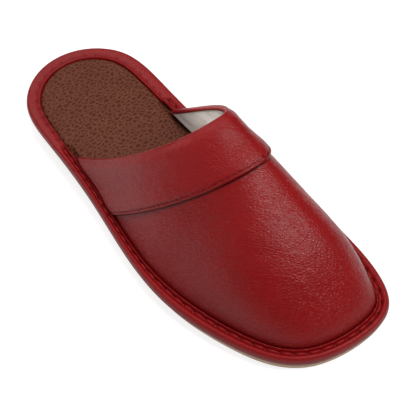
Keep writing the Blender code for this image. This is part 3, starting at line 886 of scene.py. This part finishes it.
def red_leather(name, color, deep, cell, turn, stretch, bump, rough):
    """Finished red leather: fine grain, and painted shade from the pieces' vertex mark in stitch holes, grooves and
    creases beside other parts.
    """
    material, tree, bsdf = new_material(name, Specular_IOR_Level=0.18, IOR=1.5)
    place = add(tree, "ShaderNodeTexCoord", (-1500, 0))
    mapped = add(tree, "ShaderNodeMapping", (-1300, 0),
                 {"Vector": place.outputs["Object"], "Rotation": (0, 0, math.radians(turn)),
                  "Scale": stretch}, vector_type="TEXTURE")
    grain = add(tree, "ShaderNodeGroup", (-1050, 0), node_tree=GRAIN)
    tree.links.new(mapped.outputs[0], grain.inputs["Vector"])
    grain.inputs["Cell"].default_value = 1 / cell
    grain.inputs["Warp"].default_value = 0.9
    grain.inputs["Fine"].default_value = 0.5
    cloud = add(tree, "ShaderNodeTexNoise", (-1050, -350),
                {"Vector": place.outputs["Object"], "Scale": 28.0, "Detail": 3.0})
    tone = add(tree, "ShaderNodeMapRange", (-850, -350),
               {"Value": cloud.outputs["Fac"], "From Min": 0.3, "From Max": 0.7})
    base = mix_color(tree, tone.outputs[0], color, tuple(0.86 * c for c in color[:3]) + (1,), (-620, -200))
    valley = add(tree, "ShaderNodeMath", (-620, -450), {0: grain.outputs["Valley"], 1: 0.35},
                 operation="MULTIPLY")
    base = mix_color(tree, valley.outputs[0], base, deep, (-420, -250))
    # Painted shade: the pieces' vertex mark darkens the leather towards a deep red.
    mark = add(tree, "ShaderNodeAttribute", (-850, -650), attribute_name="painted_shade")
    base = mix_color(tree, mark.outputs["Fac"], base, tuple(0.35 * c for c in deep[:3]) + (1,), (-220, -300))
    tree.links.new(base, bsdf.inputs["Base Color"])
    gloss = add(tree, "ShaderNodeMapRange", (-420, 100),
                {"Value": grain.outputs["Height"], "From Max": 1.4, "To Min": rough + 0.10, "To Max": rough - 0.04})
    tree.links.new(gloss.outputs[0], bsdf.inputs["Roughness"])
    wrinkle = add(tree, "ShaderNodeTexNoise", (-850, -900),
                  {"Vector": mapped.outputs[0], "Scale": 0.42 / cell, "Detail": 2.0})
    waves = add(tree, "ShaderNodeBump", (-420, -800), {"Height": wrinkle.outputs["Fac"], "Distance": 2.6 * bump})
    lumps = add(tree, "ShaderNodeBump", (-220, -600), {"Height": grain.outputs["Height"], "Distance": bump,
                                                       "Normal": waves.outputs[0]})
    tree.links.new(lumps.outputs[0], bsdf.inputs["Normal"])
    return material


def insole_leather():
    """Brown leather with a net of soft, paler ridges round darker hollows, in wide blotches."""
    material, tree, bsdf = new_material("brown_pebbled_leather", IOR=1.45, Specular_IOR_Level=0.10)
    place = add(tree, "ShaderNodeTexCoord", (-1900, 0))
    warp = add(tree, "ShaderNodeTexNoise", (-1700, -200),
               {"Vector": place.outputs["Object"], "Scale": 260.0, "Detail": 2.0})
    centred = add(tree, "ShaderNodeVectorMath", (-1500, -200),
                  {0: warp.outputs["Color"], 1: (0.5, 0.5, 0.5)}, operation="SUBTRACT")
    moved = add(tree, "ShaderNodeVectorMath", (-1300, 0),
                {0: centred.outputs[0], 1: (3.2 * MM, 3.2 * MM, 3.2 * MM), 2: place.outputs["Object"]},
                operation="MULTIPLY_ADD")
    turned = add(tree, "ShaderNodeMapping", (-1200, 200),
                 {"Vector": moved.outputs[0], "Rotation": (0, 0, math.radians(-20)), "Scale": (0.72, 1.0, 1.0)})
    pebble = add(tree, "ShaderNodeTexVoronoi", (-1100, 0),
                 {"Vector": turned.outputs[0], "Scale": 1 / (2.3 * MM)},
                 feature="DISTANCE_TO_EDGE", voronoi_dimensions="2D")
    dome = add(tree, "ShaderNodeMapRange", (-900, 0),
               {"Value": pebble.outputs["Distance"], "From Min": 0.0, "From Max": 0.36, "To Min": 1.0, "To Max": 0.0},
               interpolation_type="SMOOTHSTEP")
    fine = add(tree, "ShaderNodeTexNoise", (-1100, -300),
               {"Vector": moved.outputs[0], "Scale": 900.0, "Detail": 3.0})
    high = add(tree, "ShaderNodeMath", (-700, -100), {0: fine.outputs["Fac"], 1: 0.35, 2: dome.outputs[0]},
               operation="MULTIPLY_ADD")
    cloud = add(tree, "ShaderNodeTexNoise", (-1100, -600),
                {"Vector": place.outputs["Object"], "Scale": 55.0, "Detail": 4.0, "Roughness": 0.6})
    base = mix_color(tree, cloud.outputs["Fac"], (0.083, 0.0225, 0.0112, 1), (0.122, 0.0390, 0.0210, 1), (-450, -300))
    base = mix_color(tree, dome.outputs[0], (0.049, 0.0100, 0.0045, 1), base, (-250, -300))
    tree.links.new(base, bsdf.inputs["Base Color"])
    bsdf.inputs["Roughness"].default_value = 0.55
    lumps = add(tree, "ShaderNodeBump", (-220, -600), {"Height": high.outputs[0], "Distance": 0.22 * MM})
    tree.links.new(lumps.outputs[0], bsdf.inputs["Normal"])
    return material


def rubber():
    material, tree, bsdf = new_material("tan_foamed_rubber", IOR=1.45)
    place = add(tree, "ShaderNodeTexCoord", (-1200, 0))
    speck = add(tree, "ShaderNodeTexNoise", (-900, 0),
                {"Vector": place.outputs["Object"], "Scale": 1400.0, "Detail": 3.0})
    cloud = add(tree, "ShaderNodeTexNoise", (-900, -300),
                {"Vector": place.outputs["Object"], "Scale": 60.0, "Detail": 3.0})
    base = mix_color(tree, cloud.outputs["Fac"], (0.27, 0.165, 0.105, 1), (0.40, 0.27, 0.18, 1), (-620, 0))
    tree.links.new(base, bsdf.inputs["Base Color"])
    gloss = add(tree, "ShaderNodeMapRange", (-620, 250), {"Value": speck.outputs["Fac"], "To Min": 0.62, "To Max": 0.85})
    tree.links.new(gloss.outputs[0], bsdf.inputs["Roughness"])
    lumps = add(tree, "ShaderNodeBump", (-300, -300), {"Height": speck.outputs["Fac"], "Distance": 0.12 * MM})
    tree.links.new(lumps.outputs[0], bsdf.inputs["Normal"])
    return material


def lining_cloth():
    material, tree, bsdf = new_material("off_white_lining", Roughness=0.9, Specular_IOR_Level=0.2,
                                        Sheen_Weight=0.2)
    place = add(tree, "ShaderNodeTexCoord", (-1200, 0))
    weave = add(tree, "ShaderNodeTexNoise", (-900, 0),
                {"Vector": place.outputs["Object"], "Scale": 1500.0, "Detail": 2.0})
    cloud = add(tree, "ShaderNodeTexNoise", (-900, -300),
                {"Vector": place.outputs["Object"], "Scale": 90.0, "Detail": 3.0})
    base = mix_color(tree, cloud.outputs["Fac"], (0.74, 0.68, 0.60, 1), (0.90, 0.86, 0.79, 1), (-620, 0))
    tree.links.new(base, bsdf.inputs["Base Color"])
    drawn = add(tree, "ShaderNodeMapping", (-1050, -600), {"Vector": place.outputs["Object"], "Scale": (0.5, 0.2, 2.0)})
    folds = add(tree, "ShaderNodeTexNoise", (-900, -600), {"Vector": drawn.outputs[0], "Scale": 60.0, "Detail": 1.0})
    soft = add(tree, "ShaderNodeBump", (-600, -600), {"Height": folds.outputs["Fac"], "Distance": 5.0 * MM})
    lumps = add(tree, "ShaderNodeBump", (-300, -300), {"Height": weave.outputs["Fac"], "Distance": 0.15 * MM,
                                                       "Normal": soft.outputs[0]})
    tree.links.new(lumps.outputs[0], bsdf.inputs["Normal"])
    return material


def thread():
    material, tree, bsdf = new_material("red_thread", Roughness=0.55, Specular_IOR_Level=0.15)
    place = add(tree, "ShaderNodeTexCoord", (-1200, 0))
    twist = add(tree, "ShaderNodeTexNoise", (-900, 0),
                {"Vector": place.outputs["Object"], "Scale": 2500.0, "Detail": 2.0})
    base = mix_color(tree, twist.outputs["Fac"], (0.13, 0.003, 0.004, 1), (0.22, 0.008, 0.010, 1), (-620, 0))
    tree.links.new(base, bsdf.inputs["Base Color"])
    lumps = add(tree, "ShaderNodeBump", (-300, -300), {"Height": twist.outputs["Fac"], "Distance": 0.1 * MM})
    tree.links.new(lumps.outputs[0], bsdf.inputs["Normal"])
    return material


RED = (0.200, 0.0022, 0.0030, 1)
RED_DEEP = (0.105, 0.0008, 0.0012, 1)


# ---- The slipper ----

VAMP_LEATHER = red_leather("red_vamp_leather", RED, RED_DEEP, 1.15 * MM, -35, (2.0, 1.0, 1.0), 0.10 * MM, 0.325)
STRIP_LEATHER = red_leather("red_strip_leather", RED, RED_DEEP, 1.1 * MM, 0, (1.0, 1.0, 1.0), 0.05 * MM, 0.42)
LINING = lining_cloth()
THREAD = thread()

outsole = new_piece("outsole_body", build_outsole, [rubber()], ["outsole"])
insole = new_piece("insole_body", build_insole, [insole_leather()], ["insole"])
binding = new_piece("edge_binding_strip", build_binding, [STRIP_LEATHER], ["edge_binding"])
rim_stitches = new_piece("edge_stitches", build_rim_stitches, [THREAD])
upper = new_piece("upper_leather", build_upper, [VAMP_LEATHER, LINING], ["upper"])
cuff = new_piece("cuff_leather", build_cuff, [VAMP_LEATHER], ["cuff"])
cuff_stitches = new_piece("cuff_stitches", build_cuff_stitches, [THREAD])


# ---- Floor, light and camera ----

def make_floor():
    bm = bmesh.new()
    bmesh.ops.create_grid(bm, x_segments=1, y_segments=1, size=6)
    mesh = bpy.data.meshes.new("floor")
    bm.to_mesh(mesh)
    bm.free()
    floor = bpy.data.objects.new("floor", mesh)
    bpy.context.scene.collection.objects.link(floor)
    material, tree, bsdf = new_material("glowing_pale_floor", Roughness=0.9, Specular_IOR_Level=0.0,
                                        Emission_Color=(1, 1, 1, 1))
    place = add(tree, "ShaderNodeTexCoord", (-900, 0))
    # Painted glow and shade: the floor glows, and its glow and pale base colour fade with distance from the shoe.
    far = add(tree, "ShaderNodeVectorMath", (-700, 0), {0: place.outputs["Object"]}, operation="LENGTH")
    glow = add(tree, "ShaderNodeMapRange", (-500, 0), {
        "Value": far.outputs["Value"], "From Min": 0.22, "From Max": 0.45, "To Min": 0.80, "To Max": 0.02})
    white = add(tree, "ShaderNodeMapRange", (-500, -300), {
        "Value": far.outputs["Value"], "From Min": 0.22, "From Max": 0.45, "To Min": 0.28, "To Max": 0.02})
    # Painted glow: the floor glows much more strongly at the outer side, beyond the frame's edge, like a bright card
    # that lights the shoe.
    aside = add(tree, "ShaderNodeVectorMath", (-700, 300), {0: place.outputs["Object"], 1: (0.904, -0.427, 0.0)},
                operation="DOT_PRODUCT")
    card = add(tree, "ShaderNodeMapRange", (-500, 300), {
        "Value": aside.outputs["Value"], "From Min": 0.11, "From Max": 0.15, "To Min": 1.0, "To Max": 3.4})
    lit = add(tree, "ShaderNodeMath", (-300, 100), {0: glow.outputs[0], 1: card.outputs[0]}, operation="MULTIPLY")
    tree.links.new(lit.outputs[0], bsdf.inputs["Emission Strength"])
    tree.links.new(white.outputs[0], bsdf.inputs["Base Color"])
    mesh.materials.append(material)


def soft_box(name, place, size, power, aim=(0, 0, 0.03), spread=180):
    light = bpy.data.lights.new(name, "AREA")
    light.spread = math.radians(spread)
    light.shape = "RECTANGLE"
    light.size, light.size_y = size
    light.energy = power
    lamp = bpy.data.objects.new(name, light)
    lamp.location = place
    lamp.rotation_mode = "QUATERNION"
    lamp.rotation_quaternion = (Vector(aim) - Vector(place)).to_track_quat("-Z", "Y")
    bpy.context.scene.collection.objects.link(lamp)


def make_world():
    """White studio, bright overhead and dim near the horizon."""
    world = bpy.data.worlds.new("studio")
    world.use_nodes = True
    tree = world.node_tree
    back = tree.nodes["Background"]
    place = add(tree, "ShaderNodeTexCoord", (-900, 0))
    split = add(tree, "ShaderNodeSeparateXYZ", (-700, 0), {"Vector": place.outputs["Generated"]})
    level = add(tree, "ShaderNodeMapRange", (-500, 0), {
        "Value": split.outputs["Z"], "From Min": 0.15, "From Max": 0.8, "To Min": 0.05, "To Max": 0.55},
        interpolation_type="SMOOTHSTEP")
    tree.links.new(level.outputs[0], back.inputs["Strength"])
    back.inputs["Color"].default_value = (1, 1, 1, 1)
    bpy.context.scene.world = world


PHOTO_EYE = Vector((0.1685, 0.2847, 0.4251))
PHOTO_AIM = Vector((-0.0488, 0.0129, 0.0))
PHOTO_ROLL = -0.0101
SHOE_AIM = Vector((0.0011, 0.0260, 0.0220))
LENS = 82.7


def make_camera():
    """The photo's standpoint, turned to the one shoe without rolling, and zoomed in on it."""
    data = bpy.data.cameras.new("camera")
    data.sensor_width = 36
    data.lens = LENS
    camera = bpy.data.objects.new("camera", data)
    before = PHOTO_AIM - PHOTO_EYE
    after = SHOE_AIM - PHOTO_EYE
    camera.location = PHOTO_EYE
    camera.rotation_mode = "QUATERNION"
    camera.rotation_quaternion = (
        before.rotation_difference(after)
        @ before.to_track_quat("-Z", "Y")
        @ Quaternion((0, 0, 1), PHOTO_ROLL)
    )
    bpy.context.scene.collection.objects.link(camera)
    bpy.context.scene.camera = camera


make_floor()
make_world()
soft_box("light_overhead", (-0.19, 0.36, 0.92), (0.20, 0.95), 11.4)
soft_box("light_back", (-0.14, -0.72, 0.70), (0.60, 0.35), 3.2)
soft_box("light_outer_side", (0.90, -0.20, 0.44), (0.16, 0.14), 0.7)
soft_box("light_into_collar", (0.16, -0.27, 0.20), (0.03, 0.03), 0.010, aim=(-0.034, 0.008, 0.048), spread=16)
make_camera()
bpy.context.scene.view_settings.view_transform = "Standard"
